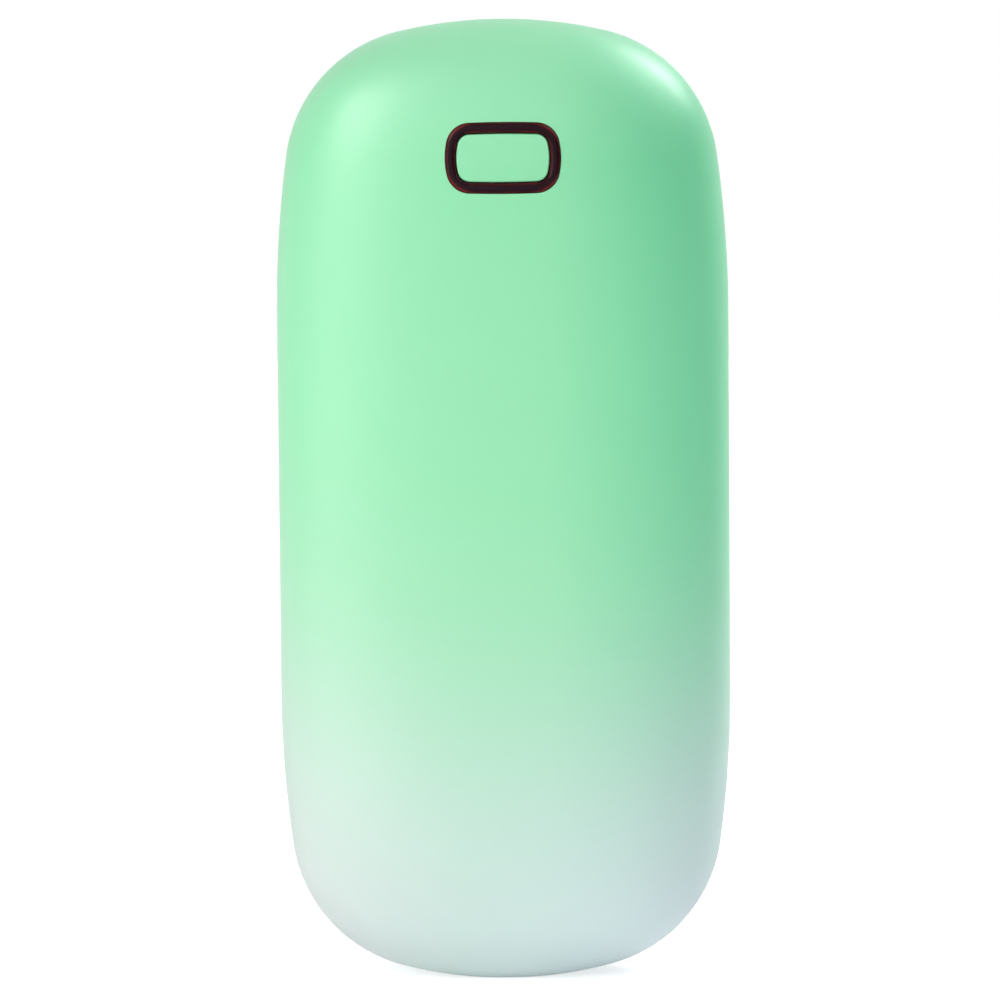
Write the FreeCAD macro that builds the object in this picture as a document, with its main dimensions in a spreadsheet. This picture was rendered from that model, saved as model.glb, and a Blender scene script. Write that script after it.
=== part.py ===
import FreeCAD, Part
import math
import os
import re

import Sketcher
from FreeCAD import Vector

# Rechargeable hand warmer, in millimetres. The front faces -Y, +Z runs up the length and X across.
# Every piece is drawn about the middle of the case outline and lifted so that its foot lies at z = 0.
SIZES = {
    # case outline, seen from the front
    "height": 104.0,
    "foot_cut": 0.25,
    "width": 49.0,
    "taper_height": 31.15,
    "side_radius": 121.0,
    "corner_radius": 15.9,
    "end_radius": 49.6,
    # case section
    "depth": 27.0,
    "crown_across": 55.0,
    "crown_along": 600.0,
    "side_band": 1.5,
    "wall": 1.8,
    # seam between the shells
    "seam_chamfer": 0.15,
    "lip_height": 1.2,
    "lip_thickness": 0.8,
    "lip_gap": 0.1,
    "bead_radius": 0.25,
    "bead_length": 8.0,
    "bead_spacing": 24.0,
    # ring and button
    "button_from_top": 14.93,
    "ring_width": 12.32,
    "ring_height": 7.56,
    "ring_band": 1.08,
    "ring_corner": 2.5,
    "ring_side_bow": 8.3,
    "ring_end_bow": 105.0,
    "ring_proud": 0.2,
    "ring_edge": 0.4,
    "ring_flange": 0.8,
    "ring_flange_reach": 1.2,
    "window_gap": 0.05,
    "collar_wall": 1.6,
    "leg_gap": 0.2,
    "leg_width": 1.2,
    "leg_span": 4.4,
    "button_gap": 0.12,
    "button_edge": 0.2,
    "button_flange": 0.8,
    "button_flange_reach": 0.6,
    "nub_radius": 1.2,
    "nub_gap": 0.05,
    # tact switch
    "switch_size": 6.0,
    "switch_base_height": 1.7,
    "switch_floor": 0.4,
    "switch_well_radius": 2.2,
    "switch_cover_thickness": 0.2,
    "switch_height": 2.6,
    "dome_rise": 0.3,
    "dome_thickness": 0.08,
    "plunger_radius": 1.7,
    "plunger_gap": 0.2,
    "plunger_flange": 0.4,
    "plunger_foot_radius": 0.8,
    "plunger_lift": 0.05,
    "terminal_length": 1.0,
    "terminal_width": 0.7,
    "terminal_thickness": 0.25,
    "terminal_spacing": 4.5,
    # boards and what is soldered to them
    "board_thickness": 1.2,
    "board_length": 20.0,
    "board_gap": 0.8,
    "led_width": 1.2,
    "led_length": 2.0,
    "led_height": 0.8,
    "led_spacing": 2.4,
    "led_gap": 0.15,
    "chip_size": 5.0,
    "chip_height": 0.9,
    "inductor_size": 6.0,
    "inductor_height": 2.8,
    "chip_offset": 8.5,
    "mosfet_width": 4.0,
    "mosfet_length": 5.0,
    "mosfet_height": 1.5,
    "mosfet_offset": 2.8,
    "capacitor_width": 1.6,
    "capacitor_length": 3.2,
    "capacitor_height": 1.2,
    "capacitor_offset": 13.5,
    "capacitor_spacing": 3.4,
    # charging socket
    "usb_width": 8.94,
    "usb_height": 3.26,
    "usb_corner": 1.5,
    "usb_length": 7.35,
    "usb_metal": 0.3,
    "usb_recess": 0.6,
    "usb_clear": 0.15,
    "tongue_width": 6.7,
    "tongue_thickness": 0.7,
    "tongue_recess": 0.7,
    "contact_width": 0.25,
    "contact_length": 3.2,
    "contact_thickness": 0.06,
    "contact_pitch": 0.5,
    "clamp_width": 6.0,
    "clamp_length": 3.0,
    # screws and bosses
    "screw_radius": 0.95,
    "screw_length": 6.0,
    "screw_point_radius": 0.3,
    "screw_head_radius": 1.8,
    "screw_head_height": 1.2,
    "screw_head_flat": 1.2,
    "screw_head_side": 0.6,
    "screw_play": 0.15,
    "boss_radius": 2.2,
    "boss_bite": 5.4,
    "pilot_gap": 0.05,
    "upper_screw_offset": 11.5,
    "upper_screw_drop": 5.0,
    "lower_screw_inset": 4.5,
    "lower_screw_rise": 2.4,
    "foot_screw_offset": 9.0,
    # battery tray
    "side_gap": 3.7,
    "base_gap": 11.0,
    "board_clear": 0.6,
    "frame_wall": 1.2,
    "frame_corner": 4.0,
    "frame_rebate": 2.2,
    "ear_thickness": 1.5,
    "ear_reach": 2.7,
    "ear_radius": 2.4,
    "ear_corner": 2.1,
    "slot_width": 9.0,
    "slot_depth": 4.0,
    # battery
    "cell_gap": 0.3,
    "cell_edge": 2.0,
    "cell_tape_thickness": 0.3,
    "tab_room": 5.0,
    "terrace_height": 1.2,
    "terrace_thickness": 0.6,
    "terrace_inset": 1.5,
    "tab_offset": 8.0,
    "tab_width": 4.0,
    "tab_thickness": 0.15,
    "tab_bend": 2.2,
    "safety_board_width": 26.0,
    "safety_board_height": 3.8,
    "safety_board_thickness": 1.0,
    "safety_board_lift": 0.15,
    "safety_chip_width": 3.0,
    "safety_chip_length": 1.6,
    "safety_chip_height": 1.1,
    "safety_chip_offset": 2.6,
    # heaters
    "heat_plate_side": 5.5,
    "heat_plate_corner": 4.0,
    "heat_plate_inset": 3.5,
    "plate_thickness": 0.6,
    "film_thickness": 0.2,
    "film_edge": 0.8,
    "bond_gap": 0.05,
    "foam_least": 0.5,
    "foam_edge": 1.0,
    "sensor_width": 1.8,
    "sensor_length": 1.4,
    "sensor_height": 0.8,
    # wires
    "battery_wire_radius": 0.6,
    "battery_wire_offset": 3.0,
    "battery_wire_rise": 2.6,
    "heater_wire_radius": 0.45,
    "heater_wire_offset": 6.0,
    "charge_wire_radius": 0.5,
    "charge_wire_gap": 0.45,
    "charge_wire_bend": 3.0,
    "charge_wire_run": 0.5,
    "sensor_wire_radius": 0.25,
    "sensor_wire_offset": 0.6,
    "wire_rise": 1.1,
    "wire_bend": 1.5,
    "wire_clear": 0.05,
}

doc = FreeCAD.newDocument("hand_warmer")
sheet = doc.addObject("Spreadsheet::Sheet", "Sizes")
for row, (alias, number) in enumerate(SIZES.items(), start=1):
    sheet.set(f"A{row}", alias)
    sheet.set(f"B{row}", str(number))
    sheet.setAlias(f"B{row}", alias)
doc.recompute()

FRONT = -1
BACK = 1
SIDES = (-1, 1)
# How far cutting tools and untrimmed stock run past the pieces that they shape.
MARGIN = "3"
# The direction in which each origin plane faces along its own axis.
FACING = {"XY_Plane": 1, "XZ_Plane": -1, "YZ_Plane": 1}
WORD = re.compile(r"[a-z][a-z_]*")


def bound(expression):
    """Point the names in an expression at the cells of the sheet."""
    return WORD.sub(lambda word: f"Sizes.{word[0]}" if word[0] in SIZES else word[0], expression)


def value(expression):
    return float(sheet.evalExpression(bound(expression)))


# Places worked out from the sizes, as expressions in local coordinates.
CENTRE = "((height - foot_cut) / 2)"
END = "((height + foot_cut) / 2)"
FOOT = f"(-{CENTRE})"
SIDE_STRAIGHT = "(height - 2 * taper_height)"
# Stock for a crowned piece, and a plane that stays beyond it where the crown falls away at the ends.
STOCK = f"(depth / 2 + {MARGIN})"
BEYOND = f"({STOCK} + {MARGIN} + {END}^2 / crown_along)"
RIM = (
    "((crown_across^2 - (width / 2)^2 - (depth / 2 - side_band - crown_across)^2)"
    " / (2 * crown_across - width))"
)

BOARD_BACK = "(-usb_height / 2)"
BOARD_FRONT = f"({BOARD_BACK} - board_thickness)"
BOARD_TOP = f"({END} - wall - board_gap)"
BOARD_BOTTOM = f"({BOARD_TOP} - board_length)"
SOCKET_BOTTOM = f"(-{BOARD_TOP})"

BUTTON_Z = f"({END} - button_from_top)"
# The ring is seated a third of the depth in front of the middle plane.
SEAT = "(-depth / 3)"
RING_REAR = f"({SEAT} + ring_flange)"
BUTTON_REAR = f"({RING_REAR} + button_flange)"
LED_TOP = f"({BOARD_FRONT} - led_height)"
LEG_INSIDE = "(ring_width / 2 - ring_band + button_flange_reach + leg_gap)"
LED_X = f"({LEG_INSIDE} + leg_width / 2)"
SWITCH_TOP = f"({BOARD_FRONT} - switch_base_height)"
COVER_TOP = f"({SWITCH_TOP} - switch_cover_thickness)"
PLUNGER_TOP = f"({BOARD_FRONT} - switch_height)"
WELL_FLOOR = f"({BOARD_FRONT} - switch_floor)"

USB_MOUTH = f"({FOOT} + usb_recess)"
USB_REAR = f"({USB_MOUTH} + usb_length)"

FRAME_HALF = "(width / 2 - wall - side_gap)"
BAY_HALF = f"({FRAME_HALF} - frame_wall)"
CELL_HALF = f"({BAY_HALF} - cell_gap)"
CELL_CORNER = "(frame_corner - frame_wall - cell_gap)"
FRAME_BOTTOM = f"({FOOT} + base_gap)"
FRAME_TOP = f"({BOARD_BOTTOM} - board_clear)"
SOCKET_TOP = f"({FRAME_BOTTOM} - board_clear)"
CELL_BOTTOM = f"({FRAME_BOTTOM} + frame_wall + cell_gap)"
CELL_TOP = f"({FRAME_TOP} - frame_wall - tab_room)"
FOOT_SCREW_Z = f"({FRAME_BOTTOM} - ear_reach)"
LOWER_SCREW_Z = f"({BOARD_BOTTOM} + lower_screw_rise)"
UPPER_SCREW_Z = f"({BOARD_TOP} - upper_screw_drop)"

PLATE_HALF = f"({FRAME_HALF} - heat_plate_side)"
PLATE_BOTTOM = f"({CELL_BOTTOM} + heat_plate_inset)"
PLATE_TOP = f"({FRAME_TOP} - heat_plate_inset)"
FOAM_TOP = f"({CELL_TOP} - heat_plate_inset)"
PLATE_OUTSIDE = "(wall + bond_gap)"
PLATE_INSIDE = f"({PLATE_OUTSIDE} + plate_thickness)"
FILM_OUTSIDE = f"({PLATE_INSIDE} + bond_gap)"
FILM_INSIDE = f"({FILM_OUTSIDE} + film_thickness)"
FOAM_OUTSIDE = f"({FILM_INSIDE} + bond_gap)"


def dome_depth(x, z, inset):
    """Distance from the middle plane to the crowned surface, moved inward by an inset."""
    across = f"sqrt((crown_across - {inset})^2 - ({x})^2)"
    return f"(sqrt((crown_along - crown_across + {across})^2 - ({z})^2) - crown_along + depth / 2)"


CELL_FACE = f"({dome_depth(PLATE_HALF, PLATE_BOTTOM, FOAM_OUTSIDE)} - foam_least)"
CELL_MIDDLE = f"((cell_tape_thickness / 2 + {CELL_FACE}) / 2)"
FRAME_DEPTH = f"({CELL_FACE} - frame_rebate)"


# Sketch outlines. Each of these returns a function that draws one closed loop in a sketch.

def fix(sketch, kind, *where):
    """Add a dimension whose last argument is an expression."""
    *places, expression = where
    index = sketch.addConstraint(Sketcher.Constraint(kind, *places, value(expression)))
    sketch.setExpression(f"Constraints[{index}]", bound(expression))


def join(sketch, kind, first, count):
    for step in range(count):
        following = first + (step + 1) % count
        sketch.addConstraint(Sketcher.Constraint(kind, first + step, 2, following, 1))


def arc(centre_x, centre_y, radius, start, stop):
    circle_line = Part.Circle(Vector(centre_x, centre_y, 0), Vector(0, 0, 1), radius)
    return Part.ArcOfCircle(circle_line, start, stop)


def tangent_corner(side, side_r, end, end_r, corner_r):
    """The middle of a corner arc that lies inside a side arc and an end arc and touches both."""
    gap = end - side
    along = ((side_r - corner_r)**2 - (end_r - corner_r)**2 + gap.Length**2) / (2 * gap.Length)
    away = math.sqrt((side_r - corner_r)**2 - along**2)
    heading = gap.normalize()
    corners = [side + heading * along + Vector(-heading.y, heading.x, 0) * way for way in (away, -away)]
    return max(corners, key=lambda corner: corner.x + corner.y)


def outline(inset):
    """The case outline, moved inward: straight sides, side arcs, corner arcs and end arcs, all tangent."""
    def draw(sketch):
        half = value(f"width / 2 - {inset}")
        straight = value(f"{SIDE_STRAIGHT} / 2")
        side_r = value(f"side_radius - {inset}")
        corner_r = value(f"corner_radius - {inset}")
        end_r = value(f"end_radius - {inset}")
        side = Vector(half - side_r, straight, 0)
        end = Vector(0, value(f"{END} - end_radius"), 0)
        corner = tangent_corner(side, side_r, end, end_r, corner_r)
        low = math.atan2(corner.y - side.y, corner.x - side.x)
        high = math.atan2(corner.y - end.y, corner.x - end.x)
        turn = math.pi
        first = sketch.GeometryCount
        sketch.addGeometry([
            Part.LineSegment(Vector(half, -straight, 0), Vector(half, straight, 0)),
            arc(side.x, side.y, side_r, 0, low),
            arc(corner.x, corner.y, corner_r, low, high),
            arc(end.x, end.y, end_r, high, turn - high),
            arc(-corner.x, corner.y, corner_r, turn - high, turn - low),
            arc(-side.x, side.y, side_r, turn - low, turn),
            Part.LineSegment(Vector(-half, straight, 0), Vector(-half, -straight, 0)),
            arc(-side.x, -side.y, side_r, -turn, low - turn),
            arc(-corner.x, -corner.y, corner_r, low - turn, high - turn),
            arc(end.x, -end.y, end_r, high - turn, -high),
            arc(corner.x, -corner.y, corner_r, -high, -low),
            arc(side.x, -side.y, side_r, -low, 0),
        ], False)
        join(sketch, "Tangent", first, 12)
        for line, heading_sign in ((0, 1), (6, -1)):
            sketch.addConstraint(Sketcher.Constraint("Vertical", first + line))
            fix(sketch, "DistanceX", -1, 1, first + line, 1, f"{heading_sign} * (width / 2 - {inset})")
            fix(sketch, "DistanceY", -1, 1, first + line, 1, f"{-heading_sign} * {SIDE_STRAIGHT} / 2")
            fix(sketch, "DistanceY", -1, 1, first + line, 2, f"{heading_sign} * {SIDE_STRAIGHT} / 2")
        for cap, up in ((3, 1), (9, -1)):
            sketch.addConstraint(Sketcher.Constraint("PointOnObject", first + cap, 3, -2))
            fix(sketch, "DistanceY", -1, 1, first + cap, 3, f"{up} * ({END} - end_radius)")
            fix(sketch, "Radius", first + cap, f"end_radius - {inset}")
        for flank in (1, 5, 7, 11):
            fix(sketch, "Radius", first + flank, f"side_radius - {inset}")
        for bend in (2, 4, 8, 10):
            fix(sketch, "Radius", first + bend, f"corner_radius - {inset}")
    return draw


def rounded(left, right, bottom, top, corner):
    """A rectangle with round corners."""
    def draw(sketch):
        x_low, x_high, y_low, y_high, r = map(value, (left, right, bottom, top, corner))
        quarter = math.pi / 2
        first = sketch.GeometryCount
        sketch.addGeometry([
            Part.LineSegment(Vector(x_low + r, y_low, 0), Vector(x_high - r, y_low, 0)),
            arc(x_high - r, y_low + r, r, -quarter, 0),
            Part.LineSegment(Vector(x_high, y_low + r, 0), Vector(x_high, y_high - r, 0)),
            arc(x_high - r, y_high - r, r, 0, quarter),
            Part.LineSegment(Vector(x_high - r, y_high, 0), Vector(x_low + r, y_high, 0)),
            arc(x_low + r, y_high - r, r, quarter, 2 * quarter),
            Part.LineSegment(Vector(x_low, y_high - r, 0), Vector(x_low, y_low + r, 0)),
            arc(x_low + r, y_low + r, r, 2 * quarter, 3 * quarter),
        ], False)
        join(sketch, "Tangent", first, 8)
        edges = (
            (0, "Horizontal", "DistanceY", bottom),
            (2, "Vertical", "DistanceX", right),
            (4, "Horizontal", "DistanceY", top),
            (6, "Vertical", "DistanceX", left),
        )
        for step, direction, distance, place in edges:
            sketch.addConstraint(Sketcher.Constraint(direction, first + step))
            fix(sketch, distance, -1, 1, first + step, 1, place)
            fix(sketch, "Radius", first + step + 1, corner)
    return draw


def bowed(level, half_width, half_height, side_bow, end_bow, corner):
    """A rectangle with bowed sides and round corners, all tangent, whose middle is at a level."""
    def draw(sketch):
        middle_y, half, rise, side_r, end_r, corner_r = map(
            value, (level, half_width, half_height, side_bow, end_bow, corner)
        )
        side = Vector(half - side_r, 0, 0)
        end = Vector(0, rise - end_r, 0)
        bend = tangent_corner(side, side_r, end, end_r, corner_r)
        low = math.atan2(bend.y - side.y, bend.x - side.x)
        high = math.atan2(bend.y - end.y, bend.x - end.x)
        turn = math.pi
        first = sketch.GeometryCount
        sketch.addGeometry([
            arc(side.x, middle_y, side_r, -low, low),
            arc(bend.x, middle_y + bend.y, corner_r, low, high),
            arc(0, middle_y + end.y, end_r, high, turn - high),
            arc(-bend.x, middle_y + bend.y, corner_r, turn - high, turn - low),
            arc(-side.x, middle_y, side_r, turn - low, turn + low),
            arc(-bend.x, middle_y - bend.y, corner_r, low - turn, high - turn),
            arc(0, middle_y - end.y, end_r, high - turn, -high),
            arc(bend.x, middle_y - bend.y, corner_r, -high, -low),
        ], False)
        join(sketch, "Tangent", first, 8)
        for flank, sign in ((0, 1), (4, -1)):
            fix(sketch, "DistanceX", -1, 1, first + flank, 3, f"{sign} * ({half_width} - ({side_bow}))")
            fix(sketch, "DistanceY", -1, 1, first + flank, 3, level)
            fix(sketch, "Radius", first + flank, side_bow)
        for cap, up in ((2, 1), (6, -1)):
            sketch.addConstraint(Sketcher.Constraint("PointOnObject", first + cap, 3, -2))
            fix(sketch, "DistanceY", -1, 1, first + cap, 3, f"{level} + {up} * ({half_height} - ({end_bow}))")
            fix(sketch, "Radius", first + cap, end_bow)
        for turned_corner in (1, 3, 5, 7):
            fix(sketch, "Radius", first + turned_corner, corner)
    return draw


def polygon(*points):
    """A closed loop of straight lines through points given as pairs of expressions."""
    def draw(sketch):
        corners = [Vector(value(x), value(y), 0) for x, y in points]
        following = corners[1:] + corners[:1]
        first = sketch.GeometryCount
        sketch.addGeometry([Part.LineSegment(*ends) for ends in zip(corners, following)], False)
        join(sketch, "Coincident", first, len(points))
        for step, (x, y) in enumerate(points):
            fix(sketch, "DistanceX", -1, 1, first + step, 1, x)
            fix(sketch, "DistanceY", -1, 1, first + step, 1, y)
    return draw


def rectangle(left, right, bottom, top):
    return polygon((left, bottom), (right, bottom), (right, top), (left, top))


def circle(x, y, radius):
    def draw(sketch):
        place = Vector(value(x), value(y), 0)
        index = sketch.addGeometry(Part.Circle(place, Vector(0, 0, 1), value(radius)), False)
        fix(sketch, "DistanceX", -1, 1, index, 3, x)
        fix(sketch, "DistanceY", -1, 1, index, 3, y)
        fix(sketch, "Radius", index, radius)
    return draw


def axis_line(start, stop):
    """A construction line that a profile turns about."""
    def draw(sketch):
        ends = [Vector(value(x), value(y), 0) for x, y in (start, stop)]
        index = sketch.addGeometry(Part.LineSegment(*ends), True)
        for end, (x, y) in enumerate((start, stop), start=1):
            fix(sketch, "DistanceX", -1, 1, index, end, x)
            fix(sketch, "DistanceY", -1, 1, index, end, y)
    return draw


def crown(side, inset, beyond):
    """The area between the crown's arc and a line beyond it, with the axis that it turns about."""
    def draw(sketch):
        radius = value(f"crown_across - {inset}")
        centre = value(f"{side} * (depth / 2 - crown_across)")
        reach = f"{-side} * (width / 2 + {MARGIN})"
        x_end = value(reach)
        y_end = centre + side * math.sqrt(radius**2 - x_end**2)
        y_far = value(beyond)
        start = math.atan2(y_end - centre, -x_end)
        stop = math.atan2(y_end - centre, x_end)
        first = sketch.GeometryCount
        sketch.addGeometry([
            arc(0, centre, radius, start, stop),
            Part.LineSegment(Vector(x_end, y_end, 0), Vector(x_end, y_far, 0)),
            Part.LineSegment(Vector(x_end, y_far, 0), Vector(-x_end, y_far, 0)),
            Part.LineSegment(Vector(-x_end, y_far, 0), Vector(-x_end, y_end, 0)),
        ], False)
        join(sketch, "Coincident", first, 4)
        sketch.addConstraint(Sketcher.Constraint("PointOnObject", first, 3, -2))
        fix(sketch, "DistanceY", -1, 1, first, 3, f"{side} * (depth / 2 - crown_across)")
        fix(sketch, "Radius", first, f"crown_across - {inset}")
        for step, direction in ((1, "Vertical"), (2, "Horizontal"), (3, "Vertical")):
            sketch.addConstraint(Sketcher.Constraint(direction, first + step))
        fix(sketch, "DistanceX", -1, 1, first + 1, 1, reach)
        fix(sketch, "DistanceX", -1, 1, first + 3, 1, f"-({reach})")
        fix(sketch, "DistanceY", -1, 1, first + 1, 2, beyond)
        axis_y = f"{side} * (depth / 2 - crown_along)"
        axis_line(("-width", axis_y), ("width", axis_y))(sketch)
    return draw


# Bodies and their features

def new_body(name):
    body = doc.addObject("PartDesign::Body", name)
    body.setExpression("Placement.Base.z", bound(CENTRE))
    return body


def new_sketch(body, plane, place, loops):
    """A sketch on an origin plane of its body, moved to a place along the plane's axis."""
    sketch = body.newObject("Sketcher::SketchObject", f"{body.Name}_sketch")
    support = next(item for item in body.Origin.OriginFeatures if item.Role == plane)
    sketch.AttachmentSupport = [(support, "")]
    sketch.MapMode = "FlatFace"
    sketch.setExpression("AttachmentOffset.Base.z", bound(f"{FACING[plane]} * ({place})"))
    for draw in loops:
        draw(sketch)
    return sketch


def extrude(body, kind, plane, start, stop, loops):
    feature = body.newObject(f"PartDesign::{kind}", f"{body.Name}_{kind.lower()}")
    feature.Profile = new_sketch(body, plane, start, loops)
    feature.setExpression("Length", bound(f"abs(({stop}) - ({start}))"))
    along_facing = (value(stop) - value(start)) * FACING[plane] > 0
    feature.Reversed = along_facing == (kind == "Pocket")
    body.Tip = feature
    return feature


def pad(body, plane, start, stop, *loops):
    return extrude(body, "Pad", plane, start, stop, loops)


def pocket(body, plane, start, stop, *loops):
    return extrude(body, "Pocket", plane, start, stop, loops)


def turned(body, kind, place, angle, *loops):
    """Turn loops drawn at a height about the construction line that is drawn with them."""
    feature = body.newObject(f"PartDesign::{kind}", f"{body.Name}_{kind.lower()}")
    sketch = new_sketch(body, "XY_Plane", place, loops)
    feature.Profile = sketch
    feature.ReferenceAxis = (sketch, ["Axis0"])
    feature.Midplane = True
    feature.setExpression("Angle", bound(angle))
    body.Tip = feature
    return feature


def crown_cut(body, side, inset, beyond):
    """Cut from the crowned surface to a plane beyond it."""
    sweep = f"2 * atan2({END} + {MARGIN}; crown_along - depth)"
    return turned(body, "Groove", "0", sweep, crown(side, inset, beyond))


def soften(body, base, edges, radius):
    """Round chosen edges of the feature before."""
    feature = body.newObject("PartDesign::Fillet", f"{body.Name}_fillet")
    feature.Base = (base, edges)
    feature.setExpression("Radius", bound(radius))
    body.Tip = feature
    return feature


def crown_edges(feature):
    """Names of the edges round the crowned face."""
    doc.recompute()
    faces = [face for face in feature.Shape.Faces if isinstance(face.Surface, Part.Toroid)]
    ring = [edge for face in faces for edge in face.Edges]
    numbered = enumerate(feature.Shape.Edges, start=1)
    return [f"Edge{number}" for number, edge in numbered if any(edge.isSame(one) for one in ring)]


def level_edges(feature, y):
    """Names of the edges that lie in a plane of constant y."""
    doc.recompute()
    numbered = enumerate(feature.Shape.Edges, start=1)
    return [
        f"Edge{number}" for number, edge in numbered
        if all(abs(point.Y - value(y)) < 1e-6 for point in edge.Vertexes)
    ]


# Primitives and booleans

def box(name, x_range, y_range, z_range):
    block = doc.addObject("Part::Box", name)
    lift = {"x": "0", "y": "0", "z": CENTRE}
    spans = zip(("Length", "Width", "Height"), "xyz", (x_range, y_range, z_range))
    for size, axis, (low, high) in spans:
        block.setExpression(size, bound(f"({high}) - ({low})"))
        block.setExpression(f"Placement.Base.{axis}", bound(f"{low} + {lift[axis]}"))
    return block


def middle(centre, size):
    """The range of a size about its centre."""
    return f"({centre} - {size} / 2)", f"({centre} + {size} / 2)"


def rod(name, x, z, y_range, radius):
    """A cylinder along Y."""
    pin = doc.addObject("Part::Cylinder", name)
    pin.Placement.Rotation = FreeCAD.Rotation(Vector(1, 0, 0), -90)
    pin.setExpression("Radius", bound(radius))
    pin.setExpression("Height", bound(f"({y_range[1]}) - ({y_range[0]})"))
    pin.setExpression("Placement.Base.x", bound(x))
    pin.setExpression("Placement.Base.y", bound(y_range[0]))
    pin.setExpression("Placement.Base.z", bound(f"{z} + {CENTRE}"))
    return pin


def upright(name, x, y, z_range, radius):
    """A cylinder along Z."""
    pin = doc.addObject("Part::Cylinder", name)
    pin.setExpression("Radius", bound(radius))
    pin.setExpression("Height", bound(f"({z_range[1]}) - ({z_range[0]})"))
    pin.setExpression("Placement.Base.x", bound(x))
    pin.setExpression("Placement.Base.y", bound(y))
    pin.setExpression("Placement.Base.z", bound(f"{z_range[0]} + {CENTRE}"))
    return pin


def combine(kind, name, base, tool):
    result = doc.addObject(f"Part::{kind}", name)
    result.Base = base
    result.Tool = tool
    return result


def fuse(name, pieces):
    result = doc.addObject("Part::MultiFuse", name)
    result.Shapes = pieces
    return result


def group(name, pieces):
    result = doc.addObject("Part::Compound", name)
    result.Links = pieces
    return result


nodes = []


def node(piece):
    """Mark a finished piece as one of the sub-parts."""
    nodes.append(piece)
    return piece


# Case shells: two moulded halves that meet on the middle plane

def pebble_half(name, side, inset):
    """Half of the case's form, moved inward all round."""
    body = new_body(name)
    pad(body, "XZ_Plane", "0", f"{side} * {STOCK}", outline(inset))
    dome = crown_cut(body, side, inset, f"{side} * {BEYOND}")
    soften(body, dome, crown_edges(dome), f"{RIM} - {inset}")
    return body


def shell_skin(name, side):
    """The bare wall of one half, with its edge eased along the seam."""
    outside = pebble_half(f"{name}_outside", side, "0")
    rim = outside.Tip
    seam = outside.newObject("PartDesign::Chamfer", f"{name}_seam")
    seam.Base = (rim, level_edges(rim, "0"))
    seam.setExpression("Size", bound("seam_chamfer"))
    outside.Tip = seam
    return combine("Cut", f"{name}_skin", outside, pebble_half(f"{name}_inside", side, "wall"))


def screw_places(offset):
    return [f"{sign} * {offset}" for sign in SIDES]


below_foot = box(
    "below_foot",
    ("-width", "width"),
    ("-depth", "depth"),
    (f"(-{END} - {MARGIN})", FOOT),
)

usb_slot = new_body("usb_slot")
pad(
    usb_slot, "XY_Plane", f"{SOCKET_BOTTOM} + usb_clear", f"-{END} - {MARGIN}",
    rounded(
        "-usb_width / 2 - usb_clear", "usb_width / 2 + usb_clear",
        "-usb_height / 2 - usb_clear", "usb_height / 2 + usb_clear", "usb_corner + usb_clear",
    ),
)

RING_HALF = "ring_width / 2"
RING_RISE = "ring_height / 2"


def ring_loop(grow):
    """The ring's outer outline, moved outward."""
    return bowed(
        BUTTON_Z, f"({RING_HALF} + {grow})", f"({RING_RISE} + {grow})",
        f"(ring_side_bow + {grow})", f"(ring_end_bow + {grow})", f"(ring_corner + {grow})",
    )


collar = new_body("collar")
pad(collar, "XZ_Plane", SEAT, "-depth / 2", ring_loop("collar_wall"))
window = new_body("window")
pad(
    window, "XZ_Plane", f"{SEAT} + {MARGIN}", f"-{STOCK}",
    ring_loop("window_gap"),
)

front_bosses = []
front_pilots = []
UPPER_ROW = ("upper_screw_offset", UPPER_SCREW_Z)
LOWER_ROW = (f"({FRAME_HALF} - lower_screw_inset)", LOWER_SCREW_Z)
FOOT_ROW = ("foot_screw_offset", FOOT_SCREW_Z)
for offset, level in (UPPER_ROW, LOWER_ROW, FOOT_ROW):
    for x in screw_places(offset):
        front_bosses.append(rod("boss", x, level, ("-depth / 2", BOARD_FRONT), "boss_radius"))
        pilot = (f"({BOARD_FRONT} - boss_bite)", f"({BOARD_FRONT} + {MARGIN})")
        front_pilots.append(rod("pilot", x, level, pilot, "screw_radius + pilot_gap"))

lip = new_body("lip")
pad(lip, "XZ_Plane", "0", "lip_height", outline("(wall - lip_thickness)"), outline("wall"))
rabbet = new_body("rabbet")
pad(rabbet, "XZ_Plane", f"-{MARGIN}", "lip_height + lip_gap", outline("(wall - lip_thickness - lip_gap)"))

beads = []
bead_seats = []
for sign in SIDES:
    for level in SIDES:
        bead_x = f"{sign} * (width / 2 - wall + lip_thickness)"
        span = middle(f"{level} * bead_spacing / 2", "bead_length")
        seat_span = middle(f"{level} * bead_spacing / 2", "(bead_length + 2 * lip_gap)")
        beads.append(upright("bead", bead_x, "lip_height / 2", span, "bead_radius"))
        bead_seats.append(upright("bead_seat", bead_x, "lip_height / 2", seat_span, "bead_radius + lip_gap"))

front_growth = combine(
    "Common", "front_growth",
    fuse("front_stock", [collar] + front_bosses), pebble_half("front_core", FRONT, "(wall / 2)"),
)
front_whole = fuse("front_whole", [shell_skin("front", FRONT), front_growth, lip] + beads)
front_cuts = group("front_cuts", [window, usb_slot, below_foot] + front_pilots)
node(combine("Cut", "front_shell", front_whole, front_cuts))

clamp = box(
    "clamp",
    ("-clamp_width / 2", "clamp_width / 2"),
    ("usb_height / 2 + usb_clear", "depth / 2"),
    (f"({SOCKET_BOTTOM} + usb_clear)", f"({SOCKET_BOTTOM} + usb_clear + clamp_length)"),
)
back_growth = combine("Common", "back_growth", clamp, pebble_half("back_core", BACK, "(wall / 2)"))
back_open = combine("Cut", "back_open", shell_skin("back", BACK), rabbet)
back_whole = fuse("back_whole", [back_open, back_growth])
node(combine("Cut", "back_shell", back_whole, group("back_cuts", [usb_slot, below_foot] + bead_seats)))


# Light ring and power button, both put in from behind

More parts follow.
